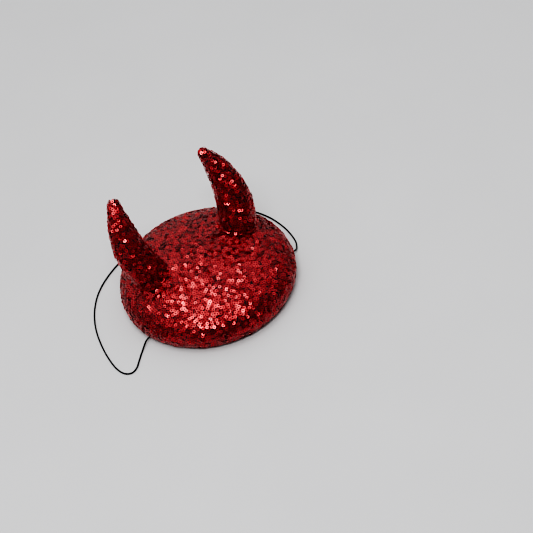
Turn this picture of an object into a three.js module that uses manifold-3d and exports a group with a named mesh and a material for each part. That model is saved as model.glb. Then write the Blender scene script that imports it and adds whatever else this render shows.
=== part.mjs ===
// A sequinned devil horn fascinator: a round hollow base worn on the head, two stuffed horns sewn on top,
// and a thin black elastic that goes round the back of the head.
// Millimetres, +Z up. The rim rests on z = 0 round the origin. The wearer faces -Y, with their left at +X.
import * as THREE from "three";
import { mergeVertices } from "three/addons/utils/BufferGeometryUtils.js";
import Module from "manifold-3d";

// Crown: the side curls out from the rim to its widest ring, and a dome closes it above that ring
const CROWN_RADIUS = 74.4;
const CROWN_HEIGHT = 38.3;
const WIDEST_RING_HEIGHT = 10.3;
const RIM_TUCK = 4.4;
const DOME_POWER = { across: 1.61, up: 2.43 };
const CROWN_WALL = 2.2;
const CROWN_SEGMENTS = 72;
const SIDE_STEPS = 4;
const DOME_STEPS = 15;

// Horns: a mirrored pair. Each foot stands on the dome, and the spine leans out and back from there and curls
// in to the tip. Angles are in degrees, and side is -1 on the wearer's right.
const HORNS = [
  { name: "horn_right", side: -1 },
  { name: "horn_left", side: 1 },
];
const FOOT_OUT = 43.0;
const FOOT_BACK = 11.8;
const LEAN_OUT = 22.2;
const LEAN_BACK = 20.4;
const CURL = 49.3;
const CURL_TURN = 27.3;
const HORN_LENGTH = 73.5;
// Half widths at shares of the length: inPlane lies in the plane of the curl, and across stands square to it
const HORN_TAPER = [
  { along: 0, inPlane: 14.3, across: 13.5 },
  { along: 0.25, inPlane: 14.6, across: 12.3 },
  { along: 0.5, inPlane: 12.5, across: 10.2 },
  { along: 0.75, inPlane: 8.7, across: 7.4 },
  { along: 0.96, inPlane: 4.3, across: 4.2 },
];
const TIP_LENGTH = 3.4;
const FOOT_DEPTH = 14;
const HORN_SEGMENTS = 28;
const TAPER_STEPS = 14;
const TIP_STEPS = 3;

// Elastic: a round cord, pushed through a hole in each side of the crown and knotted on the inside
const CORD_DIAMETER = 1.5;
const CORD_SIDES = 8;
const CORD_STEPS = 80;
const HOLE_DIAMETER = 2.2;
const HOLE_SIDES = 12;
const DRILL_LENGTH = 13;
const HOLE_HEIGHT = 3.2;
const HOLE_FORWARD_TURN = 15;
const KNOTS = [
  { name: "knot_right", side: -1 },
  { name: "knot_left", side: 1 },
];
const KNOT_RADIUS = 2.2;
const KNOT_FLATNESS = 0.75;
const KNOT_SIDES = 12;
const KNOT_RINGS = 8;
const GAP = 0.3;

// The cord's way out of the right-hand hole, down to the floor in a loose bend and round the back
const CORD_ROUTE = [
  [-67.1, -18.0, 3.2], [-71.5, -19.2, 3.2], [-75.4, -20.6, 2.8], [-79.3, -23.2, 1.7], [-82.6, -26.0, 1.0],
  [-86.2, -29.3, 0.8], [-91.2, -34.4, 0.8], [-95.7, -38.7, 0.8], [-101.0, -40.6, 0.8], [-105.8, -37.8, 0.8],
  [-108.5, -31.0, 0.8], [-109.0, -20.0, 0.8], [-107.0, -2.0, 0.8], [-101.5, 20.0, 0.8], [-92.0, 40.0, 0.8],
  [-78.0, 57.0, 0.8], [-59.0, 69.8, 0.8], [-36.5, 78.5, 0.8], [-12.0, 83.2, 0.8], [13.0, 83.2, 0.8],
  [37.0, 77.8, 0.8], [57.5, 66.8, 0.8], [72.8, 51.0, 0.8], [81.6, 32.0, 0.8], [84.8, 11.0, 0.8],
  [83.2, -7.0, 0.9], [79.0, -16.4, 1.6], [75.2, -19.5, 2.7], [71.5, -19.2, 3.2], [67.1, -18.0, 3.2],
];

const SEQUIN_RED = new THREE.MeshStandardMaterial({ color: 0xa01018, roughness: 0.35, metalness: 0.6 });
const ELASTIC_BLACK = new THREE.MeshStandardMaterial({ color: 0x101214, roughness: 0.8, metalness: 0 });

const MERGE_DISTANCE = 1e-3;
const wasm = await Module();
wasm.setup();

// A closed geometry as a solid that can be cut
function solidOf(geometry) {
  geometry.deleteAttribute("normal");
  geometry.deleteAttribute("uv");
  const merged = mergeVertices(geometry, MERGE_DISTANCE);
  const vertProperties = merged.attributes.position.array;
  const triVerts = new Uint32Array(merged.index.array);
  return new wasm.Manifold(new wasm.Mesh({ numProp: 3, vertProperties, triVerts }));
}

function geometryOf(solid) {
  const { vertProperties, triVerts } = solid.getMesh();
  const geometry = new THREE.BufferGeometry();
  geometry.setAttribute("position", new THREE.BufferAttribute(vertProperties, 3));
  geometry.setIndex(new THREE.BufferAttribute(triVerts, 1));
  geometry.computeVertexNormals();
  return geometry;
}

function namedMesh(name, geometry, material) {
  const mesh = new THREE.Mesh(geometry, material);
  mesh.name = name;
  return mesh;
}

// A profile of (radius, height) points turned about the upright axis
function turned(profile, segments) {
  return new THREE.LatheGeometry(profile, segments).rotateX(Math.PI / 2);
}

function sideRadius(height, inset) {
  const below = 1 - height / WIDEST_RING_HEIGHT;
  return CROWN_RADIUS - inset - RIM_TUCK * below * below;
}

function domeHeight(radius) {
  const across = (radius / CROWN_RADIUS) ** DOME_POWER.across;
  return WIDEST_RING_HEIGHT + (CROWN_HEIGHT - WIDEST_RING_HEIGHT) * (1 - across) ** (1 / DOME_POWER.up);
}

// The crown's outline from the rim up to the middle of the dome, set in by the inset
function crownProfile(inset) {
  const points = [];
  for (let i = 0; i < SIDE_STEPS; i++) {
    const height = (WIDEST_RING_HEIGHT * i) / SIDE_STEPS;
    points.push(new THREE.Vector2(sideRadius(height, inset), height));
  }
  const rise = CROWN_HEIGHT - inset - WIDEST_RING_HEIGHT;
  for (let i = 0; i <= DOME_STEPS; i++) {
    const angle = ((Math.PI / 2) * i) / DOME_STEPS;
    const across = Math.max(0, Math.cos(angle)) ** (2 / DOME_POWER.across);
    const up = Math.sin(angle) ** (2 / DOME_POWER.up);
    points.push(new THREE.Vector2((CROWN_RADIUS - inset) * across, WIDEST_RING_HEIGHT + rise * up));
  }
  return points;
}

// Places a geometry that lies along +Z at a radius on the line through one of the cord's holes
function placedAtHole(geometry, side, radius) {
  const forward = THREE.MathUtils.degToRad(HOLE_FORWARD_TURN);
  geometry.rotateY(Math.PI / 2).translate(radius, 0, HOLE_HEIGHT);
  return geometry.rotateZ(side > 0 ? -forward : Math.PI + forward);
}

// The hollow shell, open below, with its two holes
function crownGeometry() {
  const outer = crownProfile(0);
  const inner = crownProfile(CROWN_WALL).reverse();
  let shell = solidOf(turned([...outer, ...inner, outer[0]], CROWN_SEGMENTS));
  for (const { side } of KNOTS) {
    const drill = new THREE.CylinderGeometry(HOLE_DIAMETER / 2, HOLE_DIAMETER / 2, DRILL_LENGTH, HOLE_SIDES);
    drill.rotateX(Math.PI / 2);
    shell = shell.subtract(solidOf(placedAtHole(drill, side, sideRadius(HOLE_HEIGHT, CROWN_WALL / 2))));
  }
  return geometryOf(shell);
}

// The dome grown by the gap and closed below, which cuts the horns' feet to fit
function footCutter() {
  return solidOf(turned([new THREE.Vector2(0, 0), ...crownProfile(-GAP)], CROWN_SEGMENTS));
}

// The half widths of the unbent horn at steps along it, from the buried foot to the round tip
function hornSections() {
  const curve = new THREE.CatmullRomCurve3(
    HORN_TAPER.map(({ along, inPlane, across }) => new THREE.Vector3(inPlane, across, along * HORN_LENGTH)),
  );
  const taper = curve.getSpacedPoints(TAPER_STEPS);
  const shoulder = taper[TAPER_STEPS];
  const tip = [];
  for (let i = 1; i <= TIP_STEPS; i++) {
    const angle = ((Math.PI / 2) * i) / TIP_STEPS;
    const narrowing = Math.max(0, Math.cos(angle));
    const along = shoulder.z + TIP_LENGTH * Math.sin(angle);
    tip.push(new THREE.Vector3(shoulder.x * narrowing, shoulder.y * narrowing, along));
  }
  return [taper[0].clone().setZ(-FOOT_DEPTH), ...taper, ...tip];
}

// A turned taper of the sections' width in the plane, fitted to their width across it and bent along its spine
function hornGeometry(side, cutter) {
  const angles = [LEAN_OUT, LEAN_BACK, CURL, CURL_TURN];
  const [leanOut, leanBack, curl, turn] = angles.map(THREE.MathUtils.degToRad);
  const foot = new THREE.Vector3(FOOT_OUT, FOOT_BACK, domeHeight(Math.hypot(FOOT_OUT, FOOT_BACK)));
  const rise = new THREE.Vector3(Math.sin(leanOut), Math.sin(leanBack), 0);
  rise.z = Math.sqrt(1 - rise.lengthSq());
  const inward = new THREE.Vector3(-Math.cos(turn), Math.sin(turn), 0);
  inward.addScaledVector(rise, -inward.dot(rise)).normalize();
  const across = new THREE.Vector3().crossVectors(rise, inward);
  const bendRadius = HORN_LENGTH / curl;

  const sections = hornSections();
  const profile = sections.map(({ x, z }) => new THREE.Vector2(x, z));
  const geometry = turned([new THREE.Vector2(0, -FOOT_DEPTH), ...profile], HORN_SEGMENTS);
  const position = geometry.attributes.position;
  const point = new THREE.Vector3();
  for (let i = 0; i < position.count; i++) {
    point.fromBufferAttribute(position, i);
    const section = sections.find(({ z }) => Math.abs(z - point.z) < MERGE_DISTANCE);
    const flatness = section.x > 0 ? section.y / section.x : 1;
    const bend = Math.max(0, point.z) / bendRadius;
    const fromCentre = bendRadius - point.x;
    const placed = foot.clone();
    placed.addScaledVector(rise, Math.min(0, point.z) + fromCentre * Math.sin(bend));
    placed.addScaledVector(inward, bendRadius - fromCentre * Math.cos(bend));
    placed.addScaledVector(across, point.y * flatness);
    position.setXYZ(i, placed.x, placed.y, placed.z);
  }
  const horn = solidOf(geometry).subtract(cutter);
  return geometryOf(side > 0 ? horn : horn.mirror([1, 0, 0]));
}

function cordGeometry() {
  const section = new THREE.Shape();
  section.absarc(0, 0, CORD_DIAMETER / 2, 0, 2 * Math.PI);
  const path = new THREE.CatmullRomCurve3(CORD_ROUTE.map((point) => new THREE.Vector3(...point)));
  const outline = new THREE.Shape(section.getSpacedPoints(CORD_SIDES).slice(0, CORD_SIDES));
  return new THREE.ExtrudeGeometry(outline, { steps: CORD_STEPS, extrudePath: path });
}

// A flattened ball behind the hole, clear of the wall, which leans in towards the rim
function knotGeometry(side) {
  const ball = new THREE.SphereGeometry(KNOT_RADIUS, KNOT_SIDES, KNOT_RINGS).scale(1, 1, KNOT_FLATNESS);
  const wall = sideRadius(HOLE_HEIGHT - KNOT_RADIUS / 2, CROWN_WALL);
  return placedAtHole(ball, side, wall - GAP - KNOT_RADIUS * KNOT_FLATNESS);
}

const part = new THREE.Group();
part.add(namedMesh("crown", crownGeometry(), SEQUIN_RED));
const cutter = footCutter();
for (const { name, side } of HORNS) part.add(namedMesh(name, hornGeometry(side, cutter), SEQUIN_RED));
part.add(namedMesh("elastic_cord", cordGeometry(), ELASTIC_BLACK));
for (const { name, side } of KNOTS) part.add(namedMesh(name, knotGeometry(side), ELASTIC_BLACK));

export default part;
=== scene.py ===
# %% [markdown]
# A sequinned devil horn fascinator
#
# A fascinator is a small hat that sits on the hair and is held by a thin elastic. This one is a round,
# stiff, hollow base with two stuffed horns sewn on top, and all of it is covered in cloth with flat red
# sequins. The solids of the frame already have its sizes, so every piece below is made where its solid
# lies.

# %% Load the frame
import itertools
import math

import bpy
import numpy as np
from mathutils import Matrix, Vector
from mathutils.bvhtree import BVHTree


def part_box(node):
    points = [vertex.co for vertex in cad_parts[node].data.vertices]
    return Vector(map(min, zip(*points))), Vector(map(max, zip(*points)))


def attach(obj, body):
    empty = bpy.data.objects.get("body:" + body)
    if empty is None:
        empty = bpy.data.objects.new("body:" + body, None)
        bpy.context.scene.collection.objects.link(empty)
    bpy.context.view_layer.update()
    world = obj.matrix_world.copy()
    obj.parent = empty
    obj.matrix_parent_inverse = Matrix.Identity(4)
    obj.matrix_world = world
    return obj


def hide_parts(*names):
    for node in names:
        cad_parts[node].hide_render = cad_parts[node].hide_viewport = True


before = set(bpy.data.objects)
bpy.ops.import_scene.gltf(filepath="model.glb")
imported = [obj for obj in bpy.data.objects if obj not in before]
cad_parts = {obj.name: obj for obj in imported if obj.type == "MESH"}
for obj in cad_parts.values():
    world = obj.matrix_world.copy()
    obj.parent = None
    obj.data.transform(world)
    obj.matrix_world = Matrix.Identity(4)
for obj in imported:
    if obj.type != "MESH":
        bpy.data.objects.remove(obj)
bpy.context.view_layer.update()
MM = 0.001
print("solids in the frame:", sorted(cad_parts))

# %% [markdown]
# The camera
#
# The picture looks down on the hat from its front right, tilted a little. A shifted lens could put the
# hat off the middle of the frame, but then every other view would be off the middle too. So the camera is
# turned instead, until the middle of the rim falls on the right pixel.

# %% Camera
FRAME_PIXELS = 533
RIM_CENTRE_PIXEL = (209.97, 283.93)
PIXEL_SIZE = 0.8473 * MM
CAMERA_DISTANCE = 1.3
CAMERA_AZIMUTH = math.radians(-20.94)
CAMERA_ELEVATION = math.radians(45.83)
CAMERA_ROLL = math.radians(15.49)


def add_camera():
    """A camera that sees the origin at the rim's pixel and at the right scale."""
    x = math.sin(CAMERA_AZIMUTH) * math.cos(CAMERA_ELEVATION)
    y = -math.cos(CAMERA_AZIMUTH) * math.cos(CAMERA_ELEVATION)
    back = Vector((x, y, math.sin(CAMERA_ELEVATION)))
    side = Vector((math.cos(CAMERA_AZIMUTH), math.sin(CAMERA_AZIMUTH), 0))
    upright = Matrix((side, back.cross(side), back)).transposed().to_quaternion()
    facing = upright @ Matrix.Rotation(-CAMERA_ROLL, 3, "Z").to_quaternion()
    focal_pixels = CAMERA_DISTANCE / PIXEL_SIZE
    right, down = [pixel - FRAME_PIXELS / 2 for pixel in RIM_CENTRE_PIXEL]
    to_rim = Vector((right, -down, -focal_pixels))
    turn = to_rim.rotation_difference(Vector((0, 0, -1)))
    camera = bpy.data.objects.new("camera", bpy.data.cameras.new("camera"))
    camera.data.lens = camera.data.sensor_width * focal_pixels / FRAME_PIXELS
    camera.matrix_world = Matrix.Translation(back * CAMERA_DISTANCE) @ (facing @ turn).to_matrix().to_4x4()
    bpy.context.scene.collection.objects.link(camera)
    bpy.context.scene.camera = camera
    print(f"camera: {camera.data.lens:.1f} mm lens")


add_camera()

# %% [markdown]
# The elastic
#
# The hat is held on by a thin round elastic. When it isn't worn, the elastic lies on the table as a loose
# loop: out of a hole at one side, round the back and into the hole at the other side. A bevelled curve
# would do for its shape, but a tube made ring by ring also gives a map along and round it, which the
# braid needs.

# %% The elastic's route
ELASTIC_DIAMETER = 1.5 * MM
ELASTIC_ROUTE = MM * np.array([
    [-67.1, -18.0, 3.2], [-71.5, -19.2, 3.2], [-75.4, -20.6, 2.8], [-79.3, -23.2, 1.7],
    [-82.6, -26.0, 1.0], [-86.2, -29.3, 0.8], [-91.2, -34.4, 0.8], [-95.7, -38.7, 0.8],
    [-101.0, -40.6, 0.8], [-105.8, -37.8, 0.8], [-108.5, -31.0, 0.8], [-109.0, -20.0, 0.8],
    [-107.0, -2.0, 0.8], [-101.5, 20.0, 0.8], [-92.0, 40.0, 0.8], [-78.0, 57.0, 0.8],
    [-59.0, 69.8, 0.8], [-36.5, 78.5, 0.8], [-12.0, 83.2, 0.8], [13.0, 83.2, 0.8],
    [37.0, 77.8, 0.8], [57.5, 66.8, 0.8], [72.8, 51.0, 0.8], [81.6, 32.0, 0.8],
    [84.8, 11.0, 0.8], [83.2, -7.0, 0.9], [79.0, -16.4, 1.6], [75.2, -19.5, 2.7],
    [71.5, -19.2, 3.2], [67.1, -18.0, 3.2],
])
STEPS_BETWEEN_POINTS = 10


def smooth_path(points, steps):
    """Points along a Catmull-Rom curve through the given points, which keeps a loose cord free of kinks."""
    before_first = [2 * points[0] - points[1]]
    after_last = [2 * points[-1] - points[-2]]
    padded = np.concatenate([before_first, points, after_last])
    path = []
    for before, start, end, after in zip(padded, padded[1:], padded[2:], padded[3:]):
        for t in np.arange(steps) / steps:
            pull = 2 * before - 5 * start + 4 * end - after
            bend = 3 * start - before - 3 * end + after
            path.append(start + 0.5 * t * (end - before + t * (pull + t * bend)))
    return np.array([*path, points[-1]])


def lengths_along(path):
    """The way from a path's first point to each of its points."""
    return np.concatenate([[0], np.linalg.norm(np.diff(path, axis=0), axis=1).cumsum()])


elastic_path = smooth_path(ELASTIC_ROUTE, STEPS_BETWEEN_POINTS)
print(f"elastic: {lengths_along(elastic_path)[-1]:.3f} m in {len(elastic_path)} points")

# %% Rings along a path
TUBE_SIDES = 12
FULL_TURN = 2 * math.pi


def tube_rings(path, tangents, diameter):
    """Rings of points square to a path, each turned as little as can be from the one before."""
    turns = FULL_TURN * np.arange(TUBE_SIDES) / TUBE_SIDES
    out = np.cross(tangents[0], (0, 0, 1))
    rings = []
    for middle, tangent in zip(path, tangents):
        out = out - tangent * out.dot(tangent)
        out /= np.linalg.norm(out)
        round_it = np.outer(np.cos(turns), out) + np.outer(np.sin(turns), np.cross(tangent, out))
        rings.append(middle + diameter / 2 * round_it)
    return rings


print("a tube has", TUBE_SIDES, "sides")

# %% A tube along a path
def add_object(name, vertices, faces):
    """A mesh object at the origin with smooth faces."""
    mesh = bpy.data.meshes.new(name)
    mesh.from_pydata([tuple(v) for v in vertices], [], faces)
    mesh.shade_smooth()
    made = bpy.data.objects.new(name, mesh)
    bpy.context.scene.collection.objects.link(made)
    return made


def tube(name, path, diameter, closed=False):
    """A tube along a path, with a map whose u goes round it and whose v is the way along it in metres."""
    if closed:
        path = np.concatenate([path, path[:1]])
    along = lengths_along(path)
    tangents = np.gradient(path, axis=0)
    if closed:
        tangents[0] = tangents[-1] = path[1] - path[-2]
    tangents /= np.linalg.norm(tangents, axis=1)[:, None]
    rings = tube_rings(path, tangents, diameter)
    last = len(rings) - 1
    count = last if closed else last + 1
    faces = []
    maps = []
    for i, j in itertools.product(range(last), range(TUBE_SIDES)):
        square = [(i, j), (i, j + 1), (i + 1, j + 1), (i + 1, j)]
        faces.append([a % count * TUBE_SIDES + b % TUBE_SIDES for a, b in square])
        maps += [(b / TUBE_SIDES, along[a]) for a, b in square]
    if not closed:
        faces.append(list(range(TUBE_SIDES))[::-1])
        faces.append([last * TUBE_SIDES + j for j in range(TUBE_SIDES)])
        maps += [(0, 0)] * TUBE_SIDES + [(0, along[-1])] * TUBE_SIDES
    made = add_object(name, np.concatenate(rings[:count]), faces)
    layer = made.data.uv_layers.new(name="round_and_along")
    layer.data.foreach_set("uv", np.array(maps, np.float32).ravel())
    return made


elastic = tube("elastic_loop", elastic_path, ELASTIC_DIAMETER)
print("elastic tube:", len(elastic.data.polygons), "faces")

# %% [markdown]
# The stopper knots
#
# Each end of the elastic is knotted on the inside of the crown, so that it can't pull out through its
# hole. A ball would stop it as well, but it wouldn't look tied. An overhand knot that is pulled tight is
# a trefoil: a line that passes three times through its own loop. A formula gives that line, and the same
# tube follows it.

# %% Knots
SIDES = ("right", "left")
KNOT_STRAND = 1.35 * MM
KNOT_POINTS = 72
KNOT_WIDTH = 0.5 * MM
KNOT_DEPTH = 0.85 * MM


def stopper_knot(side):
    """A tight overhand knot where the frame has its solid, with its flat way towards the wall."""
    low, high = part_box(f"knot_{side}")
    centre = np.array((low + high) / 2)
    outward = np.array([centre[0], centre[1], 0])
    outward /= np.linalg.norm(outward)
    sideways = np.cross((0, 0, 1), outward)
    t = FULL_TURN * np.arange(KNOT_POINTS) / KNOT_POINTS
    path = centre + np.outer(KNOT_WIDTH * (np.sin(t) + 2 * np.sin(2 * t)), sideways)
    path += np.outer(KNOT_WIDTH * (np.cos(t) - 2 * np.cos(2 * t)), (0, 0, 1))
    path -= np.outer(KNOT_DEPTH * np.sin(3 * t), outward)
    return tube(f"elastic_knot_{side}", path, KNOT_STRAND, closed=True)


knots = {side: stopper_knot(side) for side in SIDES}
print("knots:", [knot.name for knot in knots.values()])

# %% [markdown]
# The crown
#
# The base is one stiff shell covered in cloth: a low dome with a side that curls in under it to the rim.
# It could be modelled from a squashed sphere, but any point of it follows from two formulas. So it is
# turned on its axis like a pot, outside first, then round the hem at the rim, then up the inside. The hem
# is round because the cloth is folded over it.

# %% The crown's outline
crown_low, crown_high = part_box("crown")
CROWN_RADIUS = (crown_high.x - crown_low.x) / 2
CROWN_HEIGHT = crown_high.z
WIDEST_RING_HEIGHT = 10.3 * MM
RIM_TUCK = 4.4 * MM
DOME_POWER_ACROSS = 1.61
DOME_POWER_UP = 2.43
CROWN_WALL = 2.2 * MM
DOME_STEPS = 48
SIDE_STEPS = 10
HEM_STEPS = 8


def crown_outline(inset):
    """Radius and height from the middle of the dome down to the hem, set in by the inset."""
    turns = np.linspace(math.pi / 2, 0, DOME_STEPS + 1)
    across = np.cos(turns).clip(0) ** (2 / DOME_POWER_ACROSS)
    up = np.sin(turns) ** (2 / DOME_POWER_UP)
    across[0] = 0
    dome_heights = WIDEST_RING_HEIGHT + (CROWN_HEIGHT - inset - WIDEST_RING_HEIGHT) * up
    dome = np.column_stack([(CROWN_RADIUS - inset) * across, dome_heights])
    heights = np.linspace(WIDEST_RING_HEIGHT, CROWN_WALL / 2, SIDE_STEPS + 1)[1:]
    radii = CROWN_RADIUS - inset - RIM_TUCK * (1 - heights / WIDEST_RING_HEIGHT) ** 2
    return np.concatenate([dome, np.column_stack([radii, heights])])


def hem_outline(start, end):
    """A half round under the rim from the outside's last point to the inside's."""
    turns = np.linspace(0, math.pi, HEM_STEPS + 1)[1:-1]
    middle = (start + end) / 2
    radii = middle[0] + (start[0] - middle[0]) * np.cos(turns)
    return np.column_stack([radii, start[1] * (1 - np.sin(turns))])


outside = crown_outline(0)
inside = crown_outline(CROWN_WALL)[::-1]
hem = hem_outline(outside[-1], inside[0])
print(f"crown: {2 * CROWN_RADIUS / MM:.1f} mm across, {CROWN_HEIGHT / MM:.1f} mm high")

# %% Turn the crown
CROWN_SEGMENTS = 160
ON_AXIS = 0.001 * MM


def turned(name, outline):
    """Turns an outline that starts on the axis about that axis, and closes it again if it ends there."""
    turns = FULL_TURN * np.arange(CROWN_SEGMENTS) / CROWN_SEGMENTS
    rings = []
    vertices = []
    for radius, height in outline:
        first = len(vertices)
        if radius < ON_AXIS:
            vertices.append((0, 0, height))
            rings.append([first] * CROWN_SEGMENTS)
        else:
            vertices += [(radius * math.cos(t), radius * math.sin(t), height) for t in turns]
            rings.append(list(range(first, first + CROWN_SEGMENTS)))
    faces = []
    for above, below in zip(rings, rings[1:]):
        for j in range(CROWN_SEGMENTS):
            k = (j + 1) % CROWN_SEGMENTS
            faces.append(list(dict.fromkeys([above[j], below[j], below[k], above[k]])))
    return add_object(name, vertices, faces)


crown = turned("crown_cloth", np.concatenate([outside, hem, inside]))
print("crown shell:", len(crown.data.polygons), "faces")

# %% [markdown]
# The horns
#
# Each horn is a sewn cloth cone, firmly stuffed, and bent while it is stuffed. The frame's solid has its
# curve and its foot, but also flat facets and a sharp edge. Cloth that is blown up by pressure would
# swell out of that curve. So a copy of the solid is meshed again in small even squares and smoothed,
# which rounds the foot as a sewn edge is round. Stuffing never fills a cone quite evenly, so a slow noise
# then moves the surface by a fraction of a millimetre, more out than in, which also makes up for what the
# smoothing took away.

# %% Horns
WELD_DISTANCE = 0.01 * MM
HORN_VOXEL = 1.1 * MM
HORN_SMOOTHING = 3
LUMP_SIZE = 14 * MM
LUMP_HEIGHT = 1.0 * MM
LUMP_MIDDLE = 0.2  # noise above this pushes the surface out, below it in


def plain_mesh(made):
    """Applies an object's modifiers for good, and leaves a plain mesh at the origin."""
    result = bpy.data.meshes.new_from_object(made.evaluated_get(bpy.context.evaluated_depsgraph_get()))
    made.modifiers.clear()
    made.data = result
    return made


def stuffed_horn(side):
    """The frame's horn, meshed again in small squares, smoothed and a little lumpy."""
    made = bpy.data.objects.new(f"horn_{side}_cloth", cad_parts[f"horn_{side}"].data.copy())
    bpy.context.scene.collection.objects.link(made)
    made.data.materials.clear()
    weld = made.modifiers.new("weld", "WELD")
    weld.merge_threshold = WELD_DISTANCE
    remesh = made.modifiers.new("even squares", "REMESH")
    remesh.mode = "VOXEL"
    remesh.voxel_size = HORN_VOXEL
    smooth = made.modifiers.new("smooth", "SMOOTH")
    smooth.iterations = HORN_SMOOTHING
    lumps = bpy.data.textures.new(f"lumps_{side}", "CLOUDS")
    lumps.noise_scale = LUMP_SIZE
    lumps.noise_depth = 0
    push = made.modifiers.new("stuffing", "DISPLACE")
    push.texture = lumps
    push.texture_coords = "LOCAL"
    push.strength = LUMP_HEIGHT
    push.mid_level = LUMP_MIDDLE
    plain_mesh(made).data.shade_smooth()
    return made


horns = {side: stuffed_horn(side) for side in SIDES}
print("horns:", {side: len(horn.data.polygons) for side, horn in horns.items()}, "faces")

# %% [markdown]
# The cloth's finish
#
# Between the sequins shows the cloth that they are sewn to: a fine knit as dark as old wine, almost lost
# in the shade. The inside of the crown is a plain black cloth of the same kind with wider loops. Loops
# could be modelled one by one, but they are far smaller than a sequin, so a pattern of cells stands for
# them. Both cloths take it from one node group, each with its own loop size. A helper makes the nodes,
# because a node tree that is written out call by call is hard to read.

# %% A node group for fine knit
KNIT_LOOP = 0.55 * MM
LOOP_EDGE = 0.7  # share of a cell, from its middle, that is yarn


def add_node(tree, kind, inputs=None, **options):
    """A new node with its options set, and each input given a value or a link from another socket."""
    made = tree.nodes.new(kind)
    for name, value in options.items():
        setattr(made, name, value)
    for key, value in (inputs or {}).items():
        if isinstance(value, bpy.types.NodeSocket):
            tree.links.new(value, made.inputs[key])
        else:
            made.inputs[key].default_value = value
    return made


def knit_group():
    """Loops of a fine knit: a mask that is bright on the yarn, and its height."""
    group = bpy.data.node_groups.new("fine_knit", "ShaderNodeTree")
    size = group.interface.new_socket("Loop Size", in_out="INPUT", socket_type="NodeSocketFloat")
    size.default_value = KNIT_LOOP
    for output in ("Yarn", "Height"):
        group.interface.new_socket(output, in_out="OUTPUT", socket_type="NodeSocketFloat")
    start = add_node(group, "NodeGroupInput")
    place = add_node(group, "ShaderNodeTexCoord").outputs["Object"]
    scale = add_node(group, "ShaderNodeMath", {0: 1.0, 1: start.outputs["Loop Size"]}, operation="DIVIDE")
    cells = add_node(group, "ShaderNodeTexVoronoi", {"Vector": place, "Scale": scale.outputs[0]})
    fall = {"Value": cells.outputs["Distance"], "From Max": LOOP_EDGE, "To Min": 1.0, "To Max": 0.0}
    yarn = add_node(group, "ShaderNodeMapRange", fall)
    end = add_node(group, "NodeGroupOutput")
    group.links.new(yarn.outputs[0], end.inputs["Yarn"])
    group.links.new(yarn.outputs[0], end.inputs["Height"])
    return group


FINE_KNIT = knit_group()
print("node group:", FINE_KNIT.name)

# %% Cloth materials
MIX_FIRST_COLOUR = 6  # a Mix node has sockets for each kind of value, and these three are for colours
MIX_SECOND_COLOUR = 7
MIX_COLOUR_OUT = 2
YARN_DEPTH = 0.25  # share of the loop
CLOTH_SPECULAR = 0.15
GROUND_COLOURS = (0.022, 0.011, 0.014, 1), (0.06, 0.02, 0.025, 1)
INSIDE_COLOURS = (0.02, 0.02, 0.022, 1), (0.075, 0.07, 0.075, 1)
INSIDE_LOOP = 1.6 * KNIT_LOOP


def new_material(name):
    """A material with its node tree and its Principled shader."""
    material = bpy.data.materials.new(name)
    material.use_nodes = True
    return material, material.node_tree, material.node_tree.nodes["Principled BSDF"]


def cloth(name, colours, loop, roughness):
    """A fine knit, with one colour for the hollows between its yarns and one for the yarn."""
    material, tree, shader = new_material(name)
    knit = add_node(tree, "ShaderNodeGroup", node_tree=FINE_KNIT)
    knit.inputs["Loop Size"].default_value = loop
    colour = add_node(tree, "ShaderNodeMix", {"Factor": knit.outputs["Yarn"]}, data_type="RGBA")
    colour.inputs[MIX_FIRST_COLOUR].default_value = colours[0]
    colour.inputs[MIX_SECOND_COLOUR].default_value = colours[1]
    relief = {"Height": knit.outputs["Height"], "Distance": YARN_DEPTH * loop}
    bump = add_node(tree, "ShaderNodeBump", relief)
    tree.links.new(colour.outputs[MIX_COLOUR_OUT], shader.inputs["Base Color"])
    tree.links.new(bump.outputs["Normal"], shader.inputs["Normal"])
    shader.inputs["Roughness"].default_value = roughness
    shader.inputs["Specular IOR Level"].default_value = CLOTH_SPECULAR
    return material


SEQUIN_GROUND = cloth("dark_knit_under_sequins", GROUND_COLOURS, KNIT_LOOP, roughness=0.9)
INSIDE_CLOTH = cloth("black_inside_cloth", INSIDE_COLOURS, INSIDE_LOOP, roughness=0.95)
print("cloths:", SEQUIN_GROUND.name, INSIDE_CLOTH.name)

# %% Put the cloth on the crown and horns
crown.data.materials.append(SEQUIN_GROUND)
crown.data.materials.append(INSIDE_CLOTH)
outside_faces = (len(outside) + len(hem) // 2) * CROWN_SEGMENTS
for face in crown.data.polygons[outside_faces:]:
    face.material_index = 1
for horn in horns.values():
    horn.data.materials.append(SEQUIN_GROUND)
print("crown faces outside and inside:", outside_faces, len(crown.data.polygons) - outside_faces)

# %% [markdown]
# Where the sequins are sewn
#
# The cloth is covered in flat round sequins, about 3 mm across, threaded in wandering chains so close
# that they overlap. Each one is a little mirror, and neighbours on a chain lean alike, so they flash
# together. Points scattered by chance would cover the cloth as well, but without the chains. So a needle
# is walked over the skin stitch by stitch, turning away from sequins that are there already. Chains
# are started at many chance points, until hardly any room is left.

# %% Room for a stitch
STITCH_GAP = 1.9 * MM


def cell_of(place):
    """The cell of a cubic grid that a place is in."""
    return tuple(math.floor(c / STITCH_GAP) for c in place)


def has_room(taken, place):
    """Whether no stitch so far lies within the gap, looked up in the cells round the place."""
    ranges = [(c - 1, c, c + 1) for c in cell_of(place)]
    near = (taken.get(cell, ()) for cell in itertools.product(*ranges))
    return all((other - place).length > STITCH_GAP for others in near for other in others)


print(f"stitches are at least {STITCH_GAP / MM:.2f} mm apart")

# %% Walk the needle
STITCH_STEP = 2.15 * MM
BEND_KEPT = 0.6  # share of the last turn that goes on
BEND_CHANCE = 0.25  # radians at the first try, more at each later one
TURNS_TRIED = 7


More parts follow.
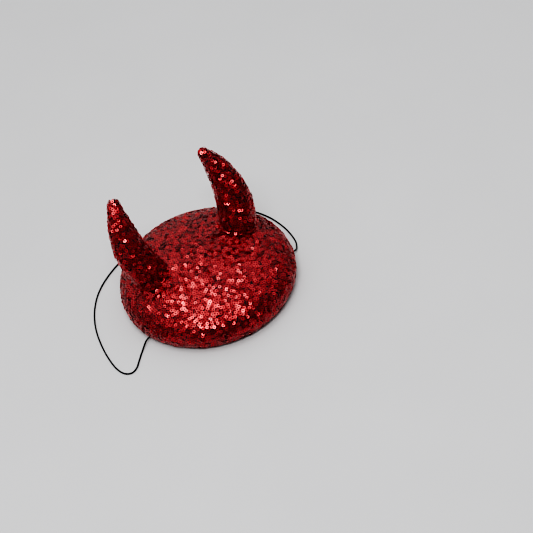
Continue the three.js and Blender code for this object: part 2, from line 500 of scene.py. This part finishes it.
def walk_chain(start, skin, fits, taken, draw):
    """Stitches in a chain from the start on, until the needle finds no more room."""
    place, facing = skin.find_nearest(start)[:2]
    way = Matrix.Rotation(draw.uniform(0, FULL_TURN), 3, facing) @ facing.orthogonal().normalized()
    bend = 0
    chain = []
    while fits(place):
        chain.append((place, facing, way))
        taken.setdefault(cell_of(place), []).append(place)
        for tried in range(TURNS_TRIED):
            turn = BEND_KEPT * bend + draw.normal(0, BEND_CHANCE * (1 + tried))
            onward = Matrix.Rotation(turn, 3, facing) @ way
            next_place, next_facing = skin.find_nearest(place + STITCH_STEP * onward)[:2]
            if fits(next_place):
                break
        bend = turn
        way = (next_place - place).normalized()
        place = next_place
        facing = next_facing
    return chain


print(f"the needle goes {STITCH_STEP / MM:.2f} mm at each step")

# %% Fill a skin with chains
STARTS_PER_AREA = 3.0 / MM**2
LOWEST_STITCH = 1.6 * MM
PLACE = slice(0, 3)
FACING = slice(3, 6)
WAY = slice(6, 9)
CHAIN = 9


def surface(mesh):
    """A mesh's faces in a form that finds the nearest point quickly."""
    return BVHTree.FromPolygons([v.co for v in mesh.vertices], [tuple(f.vertices) for f in mesh.polygons])


def chance_points(mesh, draw):
    """Points on a mesh's triangles, spread by area."""
    mesh.calc_loop_triangles()
    corners = np.array([[mesh.vertices[i].co for i in t.vertices] for t in mesh.loop_triangles])
    areas = np.array([t.area for t in mesh.loop_triangles])
    count = int(areas.sum() * STARTS_PER_AREA)
    a, b, c = corners[draw.choice(len(areas), count, p=areas / areas.sum())].transpose(1, 0, 2)
    u = np.sqrt(draw.random((count, 1)))
    v = draw.random((count, 1))
    return (1 - u) * a + u * (1 - v) * b + u * v * c


def stitches_over(mesh, neighbours, clearance, sewn, seed):
    """Chains of stitches that fill a skin, clear of its neighbours, the rim's edge and what is sewn."""
    draw = np.random.default_rng(seed)
    skin = surface(mesh)
    others = [surface(neighbour.data) for neighbour in neighbours]
    taken = {}
    for row in sewn:
        taken.setdefault(cell_of(row[PLACE]), []).append(Vector(row[PLACE]))

    def fits(place):
        if place.z <= LOWEST_STITCH or not has_room(taken, place):
            return False
        return all(other.find_nearest(place, clearance)[0] is None for other in others)

    walked = (walk_chain(Vector(start), skin, fits, taken, draw) for start in chance_points(mesh, draw))
    numbered = enumerate((chain for chain in walked if chain), start=1)
    return np.array([(*place, *facing, *way, i) for i, chain in numbered for place, facing, way in chain])


print(f"chains are tried from {STARTS_PER_AREA * MM**2:.1f} points of each square millimetre")

# %% [markdown]
# The seams round the horns' feet
#
# Each horn is sewn to the crown round its foot, where two skins of sequins meet in a narrow crease.
# Chains that wander would leave the crease bare in places. So one ring of sequins is laid over each seam
# first, facing half way between the crown and the horn, and the chains then keep clear of it.

# %% Seam stitches
SEAM_LOWEST = 0.7 * MM
SEAM_HIGHEST = 1.7 * MM
SEAM_SECTIONS = 24


def evenly_spaced(ring):
    """A closed ring of rows, which start with a place, set out again a stitch apart."""
    closed = np.vstack([ring, ring[:1]])
    along = lengths_along(closed[:, PLACE])
    spots = np.linspace(0, along[-1], round(along[-1] / STITCH_STEP) + 1)[:-1]
    return np.column_stack([np.interp(spots, along, column) for column in closed.T])


def seam_stitches(horn, base):
    """A ring of stitches that hides the seam round a horn's foot. All are chain 0."""
    near = []
    for corner in horn.data.vertices:
        _, upward, _, height = base.find_nearest(corner.co)
        if SEAM_LOWEST < height < SEAM_HIGHEST:
            near.append((*corner.co, *(corner.normal + upward).normalized()))
    near = np.array(near)
    from_middle = near - near.mean(0)
    turns = np.arctan2(from_middle[:, 1], from_middle[:, 0])
    section = ((turns / FULL_TURN + 0.5) * SEAM_SECTIONS).astype(int) % SEAM_SECTIONS
    ring = evenly_spaced(np.array([near[section == i].mean(0) for i in range(SEAM_SECTIONS)]))
    ways = np.roll(ring[:, PLACE], -1, axis=0) - np.roll(ring[:, PLACE], 1, axis=0)
    return np.column_stack([ring, ways, np.zeros(len(ring))])


seams = {side: seam_stitches(horn, surface(crown.data)) for side, horn in horns.items()}
print("seam stitches:", {side: len(rows) for side, rows in seams.items()})

# %% Stitch the crown and the horns
CROWN_SEED = 11
HORN_SEED = 20
CROWN_CLEARANCE = 0.4 * MM
HORN_CLEARANCE = 0.5 * MM

outer_skin = turned("outer_skin", outside)
all_seams = np.concatenate(list(seams.values()))
in_the_way = [*horns.values(), elastic]
crown_stitches = stitches_over(outer_skin.data, in_the_way, CROWN_CLEARANCE, all_seams, CROWN_SEED)
bpy.data.objects.remove(outer_skin)
horn_stitches = {}
for i, (side, horn) in enumerate(horns.items()):
    found = stitches_over(horn.data, [crown], HORN_CLEARANCE, seams[side], HORN_SEED + i)
    horn_stitches[side] = np.concatenate([seams[side], found])
for name, rows in (("crown", crown_stitches), *horn_stitches.items()):
    print(name, len(rows), "stitches in", len(set(rows[:, CHAIN])), "chains")

# %% [markdown]
# The sequins' film
#
# Sequins are stamped from plastic film with a thin layer of metal in it, and a clear coat over that. A
# red plastic would show its own colour from all sides, but a sequin is bright or almost black, as it
# mirrors the room. So the film is a red metal under a weak coat, which adds the white glints. Each sequin
# carries a tone, so that neighbours are never quite the same red.

# %% The sequin film
FILM_TONES = (0.32, 0.026, 0.029, 1), (0.56, 0.048, 0.053, 1)
FILM_ROUGHNESS = 0.3
FILM_COAT = 0.35
FILM_COAT_ROUGHNESS = 0.12


def sequin_film():
    """Red metallised film: a coloured mirror under a clear coat, with a tone for each sequin."""
    material, tree, shader = new_material("red_sequin_film")
    tone = add_node(tree, "ShaderNodeAttribute", attribute_name="tone")
    ramp = add_node(tree, "ShaderNodeValToRGB", {"Fac": tone.outputs["Fac"]})
    for step, colour in zip(ramp.color_ramp.elements, FILM_TONES):
        step.color = colour
    tree.links.new(ramp.outputs["Color"], shader.inputs["Base Color"])
    shader.inputs["Metallic"].default_value = 1.0
    shader.inputs["Roughness"].default_value = FILM_ROUGHNESS
    shader.inputs["Coat Weight"].default_value = FILM_COAT
    shader.inputs["Coat Roughness"].default_value = FILM_COAT_ROUGHNESS
    return material


SEQUIN_FILM = sequin_film()
print("film:", SEQUIN_FILM.name)

# %% [markdown]
# Sewing with Geometry Nodes
#
# A loop could copy one sequin to each stitch, but thousands of objects are slow. A geometry tree puts a
# small washer on every stitch in one go, and its named inputs hold the sizes. It turns each washer flat
# on the skin with its X along the chain, then leans it three ways: like a roof tile on the one before it,
# as the rest of its chain leans, and a little by chance. Instances have no mesh of their own, so the tree
# makes them real at the end.

# %% The tree's inputs
SEWING_INPUTS = [
    ("Stitches", "NodeSocketGeometry", None),
    ("Diameter", "NodeSocketFloat", 2.9 * MM),
    ("Hole", "NodeSocketFloat", 1.15 * MM),
    ("Thickness", "NodeSocketFloat", 0.12 * MM),
    ("Tile Lean", "NodeSocketFloat", 0.1),
    ("Chain Lean", "NodeSocketFloat", 0.76),
    ("Chance Lean", "NodeSocketFloat", 0.22),
    ("Lean Size", "NodeSocketFloat", 5.0 * MM),
    ("Lift", "NodeSocketFloat", 0.5 * MM),
    ("Seed", "NodeSocketInt", CROWN_SEED),
    ("Film", "NodeSocketMaterial", None),
]


def add_math(tree, operation, *values):
    """The output of a math node on the given values or sockets."""
    return add_node(tree, "ShaderNodeMath", dict(enumerate(values)), operation=operation).outputs[0]


def add_vector_math(tree, operation, inputs):
    """The output of a vector math node."""
    return add_node(tree, "ShaderNodeVectorMath", inputs, operation=operation).outputs[0]


def stitch_value(tree, name, kind):
    """A value that each stitch carries."""
    return add_node(tree, "GeometryNodeInputNamedAttribute", {"Name": name}, data_type=kind).outputs[0]


print("sewing inputs:", [name for name, _, _ in SEWING_INPUTS])

# %% One washer
SEQUIN_SIDES = 10
FACES_PER_SEQUIN = 4 * SEQUIN_SIDES


def washer(tree, size):
    """A flat ring: a circle with an oblong section, few sided and closed."""
    width = add_math(tree, "MULTIPLY", add_math(tree, "SUBTRACT", size["Diameter"], size["Hole"]), 0.5)
    radius = add_math(tree, "MULTIPLY", add_math(tree, "ADD", size["Diameter"], size["Hole"]), 0.25)
    round_line = {"Resolution": SEQUIN_SIDES, "Radius": radius}
    circle = add_node(tree, "GeometryNodeCurvePrimitiveCircle", round_line)
    oblong = {"Width": width, "Height": size["Thickness"]}
    section = add_node(tree, "GeometryNodeCurvePrimitiveQuadrilateral", oblong)
    curves = {"Curve": circle.outputs["Curve"], "Profile Curve": section.outputs["Curve"]}
    ring = add_node(tree, "GeometryNodeCurveToMesh", curves)
    flat = add_node(tree, "GeometryNodeSetShadeSmooth", {0: ring.outputs[0], "Shade Smooth": False})
    return flat.outputs[0]


print("a washer has", FACES_PER_SEQUIN, "faces")

# %% How a washer leans
CHAINS_APART = 1.7
NOISE_MIDDLE = (0.5, 0.5, 0.5)


def slow_lean(tree, size, chain):
    """A lean that changes slowly along a chain. Each chain has its own slice of a 4D noise."""
    place = add_node(tree, "GeometryNodeInputPosition").outputs[0]
    scale = add_math(tree, "DIVIDE", 1.0, size["Lean Size"])
    spread = add_vector_math(tree, "SCALE", {0: place, "Scale": scale})
    slice_of_noise = add_math(tree, "MULTIPLY", chain, CHAINS_APART)
    slow = {"Vector": spread, "W": slice_of_noise, "Scale": 1.0, "Detail": 0.0}
    noise = add_node(tree, "ShaderNodeTexNoise", slow, noise_dimensions="4D").outputs["Color"]
    centred = add_vector_math(tree, "SUBTRACT", {0: noise, 1: NOISE_MIDDLE})
    return add_vector_math(tree, "SCALE", {0: centred, "Scale": size["Chain Lean"]})


def leaning(tree, size, chain):
    """A washer's turn: flat on the skin, then leaning like a tile, with its chain and by chance."""
    axes = {0: stitch_value(tree, "facing", "FLOAT_VECTOR"), 1: stitch_value(tree, "way", "FLOAT_VECTOR")}
    flat = add_node(tree, "FunctionNodeAxesToRotation", axes, primary_axis="Z", secondary_axis="X")
    both_ways = {0: (-1, -1, -1), "Seed": size["Seed"]}
    chance = add_node(tree, "FunctionNodeRandomValue", both_ways, data_type="FLOAT_VECTOR").outputs[0]
    small = add_vector_math(tree, "SCALE", {0: chance, "Scale": size["Chance Lean"]})
    tiled = add_node(tree, "ShaderNodeCombineXYZ", {"Y": size["Tile Lean"]}).outputs[0]
    wandering = add_vector_math(tree, "ADD", {0: slow_lean(tree, size, chain), 1: small})
    lean = add_vector_math(tree, "ADD", {0: wandering, 1: tiled})
    turn = add_node(tree, "FunctionNodeEulerToRotation", {0: lean})
    both = {0: flat.outputs[0], 1: turn.outputs[0]}
    return add_node(tree, "FunctionNodeRotateRotation", both, rotation_space="LOCAL").outputs[0]


print(f"chains are {CHAINS_APART} apart in the noise that leans them")

# %% The tree that sews the sequins on
RANDOM_FLOAT = 1  # the output of a Random Value node that is a plain number
LIFT_SEED = 5
TONE_SEED = 8
LOWEST_LIFT = 0.5  # share of the lift


def lift_of(tree, size, chain):
    """How far a washer stands off the skin, the same all along its chain."""
    by_chain = {"ID": chain, "Seed": LIFT_SEED}
    chance = add_node(tree, "FunctionNodeRandomValue", by_chain, data_type="FLOAT").outputs[RANDOM_FLOAT]
    height = add_math(tree, "MULTIPLY", add_math(tree, "ADD", chance, LOWEST_LIFT), size["Lift"])
    return add_node(tree, "ShaderNodeCombineXYZ", {"Z": height}).outputs[0]


def sewing_tree():
    """The whole tree: a washer on each stitch, its lean, lift and tone, then real meshes with film."""
    tree = bpy.data.node_groups.new("sewn_sequins", "GeometryNodeTree")
    for name, kind, value in SEWING_INPUTS:
        socket = tree.interface.new_socket(name, in_out="INPUT", socket_type=kind)
        if value is not None:
            socket.default_value = value
    tree.interface.new_socket("Sequins", in_out="OUTPUT", socket_type="NodeSocketGeometry")
    size = add_node(tree, "NodeGroupInput").outputs
    chain = stitch_value(tree, "chain", "FLOAT")
    sewn = add_node(tree, "GeometryNodeInstanceOnPoints", {
        "Points": size["Stitches"], "Instance": washer(tree, size), "Rotation": leaning(tree, size, chain),
    })
    lift = {0: sewn.outputs[0], "Translation": lift_of(tree, size, chain)}
    lifted = add_node(tree, "GeometryNodeTranslateInstances", lift)
    shade = add_node(tree, "FunctionNodeRandomValue", {"Seed": TONE_SEED}, data_type="FLOAT")
    tone = {0: lifted.outputs[0], "Name": "tone", "Value": shade.outputs[RANDOM_FLOAT]}
    toned = add_node(tree, "GeometryNodeStoreNamedAttribute", tone, domain="INSTANCE")
    real = add_node(tree, "GeometryNodeRealizeInstances", {0: toned.outputs[0]})
    filmed = add_node(tree, "GeometryNodeSetMaterial", {0: real.outputs[0], "Material": size["Film"]})
    end = add_node(tree, "NodeGroupOutput")
    tree.links.new(filmed.outputs[0], end.inputs[0])
    return tree


SEWING = sewing_tree()
IDENTIFIERS = {item.name: item.identifier for item in SEWING.interface.items_tree if item.in_out == "INPUT"}
print("sewing tree:", len(SEWING.nodes), "nodes")

# %% Sew the sequins on
CROWN_SECTORS = 3
HORN_SEWING = {"Lift": 0.7 * MM, "Chain Lean": 0.85, "Chance Lean": 0.32}


def sew(name, rows, sizes):
    """Sequins on the given stitches, as one plain mesh."""
    mesh = bpy.data.meshes.new(name)
    mesh.from_pydata(rows[:, PLACE].tolist(), [], [])
    for value, columns in (("facing", rows[:, FACING]), ("way", rows[:, WAY])):
        mesh.attributes.new(value, "FLOAT_VECTOR", "POINT").data.foreach_set("vector", columns.ravel())
    mesh.attributes.new("chain", "FLOAT", "POINT").data.foreach_set("value", rows[:, CHAIN].copy())
    made = bpy.data.objects.new(name, mesh)
    bpy.context.scene.collection.objects.link(made)
    modifier = made.modifiers.new("sewn sequins", "NODES")
    modifier.node_group = SEWING
    for socket, value in {"Film": SEQUIN_FILM, **sizes}.items():
        modifier[IDENTIFIERS[socket]] = value
    plain_mesh(made)
    faces = len(made.data.polygons)
    print(f"{name}: {faces // FACES_PER_SEQUIN} sequins, {2 * faces} triangles")
    return made


turns = np.arctan2(crown_stitches[:, 1], crown_stitches[:, 0])
sectors = np.floor((turns + math.pi) / FULL_TURN * CROWN_SECTORS).clip(0, CROWN_SECTORS - 1)
crown_sequins = [
    sew(f"crown_sequins_{i + 1}", crown_stitches[sectors == i], {"Seed": CROWN_SEED + i})
    for i in range(CROWN_SECTORS)
]
horn_sequins = {
    side: sew(f"horn_{side}_sequins", rows, {**HORN_SEWING, "Seed": HORN_SEED + i})
    for i, (side, rows) in enumerate(horn_stitches.items())
}

# %% [markdown]
# The elastic's finish
#
# Round elastic has a rubber core in a braid of fine black yarn. Real strands could be wound round the
# tube, but at 1.5 mm they would hardly show. The braid runs both ways round the cord, so two waves that
# slope against each other along the tube's own map make its small diamonds.

# %% Braided elastic
BRAID_STRANDS = 8
BRAID_PITCH = 2.4 * MM
BRAID_HOLLOW = -0.6
BRAID_DEPTH = 0.08 * MM
BRAID_COLOURS = (0.003, 0.003, 0.004, 1), (0.02, 0.021, 0.023, 1)
BRAID_ROUGHNESS = 0.75
BRAID_SHEEN = 0.15


def braided_elastic():
    """Matt black braid with slightly paler yarn on top."""
    material, tree, shader = new_material("black_braided_elastic")
    place = add_node(tree, "ShaderNodeUVMap", uv_map="round_and_along")
    across, along, _ = add_node(tree, "ShaderNodeSeparateXYZ", {0: place.outputs[0]}).outputs
    turn = add_math(tree, "MULTIPLY", across, FULL_TURN * BRAID_STRANDS / 2)
    climb = add_math(tree, "MULTIPLY", along, FULL_TURN * BRAID_STRANDS / 2 / BRAID_PITCH)
    waves = [add_math(tree, "SINE", add_math(tree, slope, turn, climb)) for slope in ("ADD", "SUBTRACT")]
    braid = add_math(tree, "MAXIMUM", *waves)
    yarn = add_node(tree, "ShaderNodeMapRange", {"Value": braid, "From Min": BRAID_HOLLOW, "From Max": 1.0})
    ramp = add_node(tree, "ShaderNodeValToRGB", {"Fac": yarn.outputs[0]})
    for step, colour in zip(ramp.color_ramp.elements, BRAID_COLOURS):
        step.color = colour
    bump = add_node(tree, "ShaderNodeBump", {"Height": yarn.outputs[0], "Distance": BRAID_DEPTH})
    tree.links.new(ramp.outputs["Color"], shader.inputs["Base Color"])
    tree.links.new(bump.outputs["Normal"], shader.inputs["Normal"])
    shader.inputs["Roughness"].default_value = BRAID_ROUGHNESS
    shader.inputs["Sheen Weight"].default_value = BRAID_SHEEN
    return material


BRAIDED_ELASTIC = braided_elastic()
for piece in (elastic, *knots.values()):
    piece.data.materials.append(BRAIDED_ELASTIC)
print(f"braid: {BRAID_STRANDS} strands, {BRAID_PITCH / MM:.1f} mm a turn")

# %% [markdown]
# Each piece rides on the frame
#
# Nothing on this hat turns or slides on its own, so every piece rides on the one body. The cloth pieces
# stand for the frame's plain solids, and the sequins are added to them.

pieces = [crown, elastic, *knots.values(), *horns.values(), *crown_sequins, *horn_sequins.values()]
for piece in pieces:
    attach(piece, "root")
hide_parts("crown")
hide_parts("elastic_cord")
for side in SIDES:
    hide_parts(f"horn_{side}")
    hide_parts(f"knot_{side}")
print("pieces that ride:", len(pieces))

# %% [markdown]
# Floor and lights
#
# A sequin shows what it mirrors more than its own colour, so the light is part of the look. A wide soft
# light overhead gives the bright band on the front of the dome. A narrow strip lamp in front of it, four
# times as bright, gives the few white glints. A point or a sun would do for shadows, but a mirror shows
# the shape of its light, so both are oblong area lights. The floor is plain and pale, with a very faint
# mottle.

# %% Floor
FLOOR_SIZE = 40.0
FLOOR_COLOURS = (0.62, 0.62, 0.63, 1), (0.67, 0.67, 0.68, 1)
MOTTLES_PER_METRE = 9.0
MOTTLE_DETAIL = 3.0
FLOOR_ROUGHNESS = 0.85


def pale_floor():
    """A wide plain floor with a very faint mottle."""
    half = FLOOR_SIZE / 2
    corners = [(-half, -half, 0), (half, -half, 0), (half, half, 0), (-half, half, 0)]
    floor = add_object("floor", corners, [(0, 1, 2, 3)])
    material, tree, shader = new_material("pale_floor")
    place = add_node(tree, "ShaderNodeTexCoord").outputs["Object"]
    mottle = {"Vector": place, "Scale": MOTTLES_PER_METRE, "Detail": MOTTLE_DETAIL}
    noise = add_node(tree, "ShaderNodeTexNoise", mottle)
    ramp = add_node(tree, "ShaderNodeValToRGB", {"Fac": noise.outputs["Fac"]})
    for step, colour in zip(ramp.color_ramp.elements, FLOOR_COLOURS):
        step.color = colour
    tree.links.new(ramp.outputs["Color"], shader.inputs["Base Color"])
    shader.inputs["Roughness"].default_value = FLOOR_ROUGHNESS
    floor.data.materials.append(material)
    print(f"floor: {FLOOR_SIZE:.0f} m wide")


pale_floor()

# %% Lights
LAMP = {"start": (-0.54, -0.42, 1.06), "end": (-0.04, -0.54, 1.14), "width": 0.14, "radiance": 16}
OVERHEAD = {"start": (-0.38, 0.06, 1.32), "end": (0.10, 0.06, 1.34), "width": 0.42, "radiance": 4.0}
WATTS_PER_RADIANCE = 4  # for each square metre of an area light


def strip_light(name, start, end, width, radiance):
    """An oblong area light from one point to another, turned to face the hat."""
    start = Vector(start)
    end = Vector(end)
    light = bpy.data.lights.new(name, "AREA")
    light.shape = "RECTANGLE"
    light.size = (end - start).length
    light.size_y = width
    light.energy = WATTS_PER_RADIANCE * light.size * light.size_y * radiance
    made = bpy.data.objects.new(name, light)
    along = (end - start).normalized()
    middle = (start + end) / 2
    away = (middle - along * middle.dot(along)).normalized()
    facing = Matrix((along, away.cross(along), away)).transposed()
    made.matrix_world = Matrix.Translation(middle) @ facing.to_4x4()
    bpy.context.scene.collection.objects.link(made)
    print(f"{name}: {light.size:.2f} by {width:.2f} m, {light.energy:.1f} W")


strip_light("lamp", **LAMP)
strip_light("overhead", **OVERHEAD)

# %% [markdown]
# A soft room
#
# What is left of a sequin's light comes from the room round it. An even grey would make the dome and its
# side alike. So the room is graded: dim at the floor, which keeps the side dark red, and bright overhead
# and a little behind, which the top of the dome mirrors. A contrasty view transform then deepens the
# shade between sequins.

# %% Room and view
BRIGHTEST_WAY = Vector((0.05, 0.40, 0.91)).normalized()
ROOM_STEPS = [(0.0, 0.12), (0.3, 0.30), (0.75, 0.80), (1.0, 1.10)]


def soft_room():
    """Light from all round that grows from dim at the floor to bright overhead."""
    room = bpy.data.worlds.new("soft_room")
    room.use_nodes = True
    tree = room.node_tree
    way = add_node(tree, "ShaderNodeTexCoord").outputs["Generated"]
    upward = add_node(tree, "ShaderNodeVectorMath", {0: way, 1: BRIGHTEST_WAY}, operation="DOT_PRODUCT")
    ramp = add_node(tree, "ShaderNodeValToRGB", {"Fac": upward.outputs["Value"]})
    steps = ramp.color_ramp.elements
    while len(steps) < len(ROOM_STEPS):
        steps.new(0.5)
    for step, (position, light) in zip(steps, ROOM_STEPS):
        step.position = position
        step.color = (light, light, light, 1)
    tree.links.new(ramp.outputs["Color"], tree.nodes["Background"].inputs["Color"])
    bpy.context.scene.world = room
    print("room: light from", ROOM_STEPS[0][1], "to", ROOM_STEPS[-1][1])


soft_room()
bpy.context.scene.view_settings.view_transform = "AgX"
bpy.context.scene.view_settings.look = "AgX - High Contrast"

# %% [markdown]
# A crisp picture
#
# A camera sharpens its pictures a little, and small sequins look soft without that. One filter node in
# the compositor does the same to the finished picture, and leaves the model as it is.

# %% Sharpening
SHARPENING = 0.03


def sharpen_picture():
    """A little sharpening of the finished picture, as cameras do."""
    bpy.context.scene.use_nodes = True
    tree = bpy.context.scene.node_tree
    picture = tree.nodes["Render Layers"].outputs["Image"]
    strength = {"Fac": SHARPENING, "Image": picture}
    crisp = add_node(tree, "CompositorNodeFilter", strength, filter_type="SHARPEN")
    tree.links.new(crisp.outputs[0], tree.nodes["Composite"].inputs[0])
    print("sharpening:", SHARPENING)


sharpen_picture()
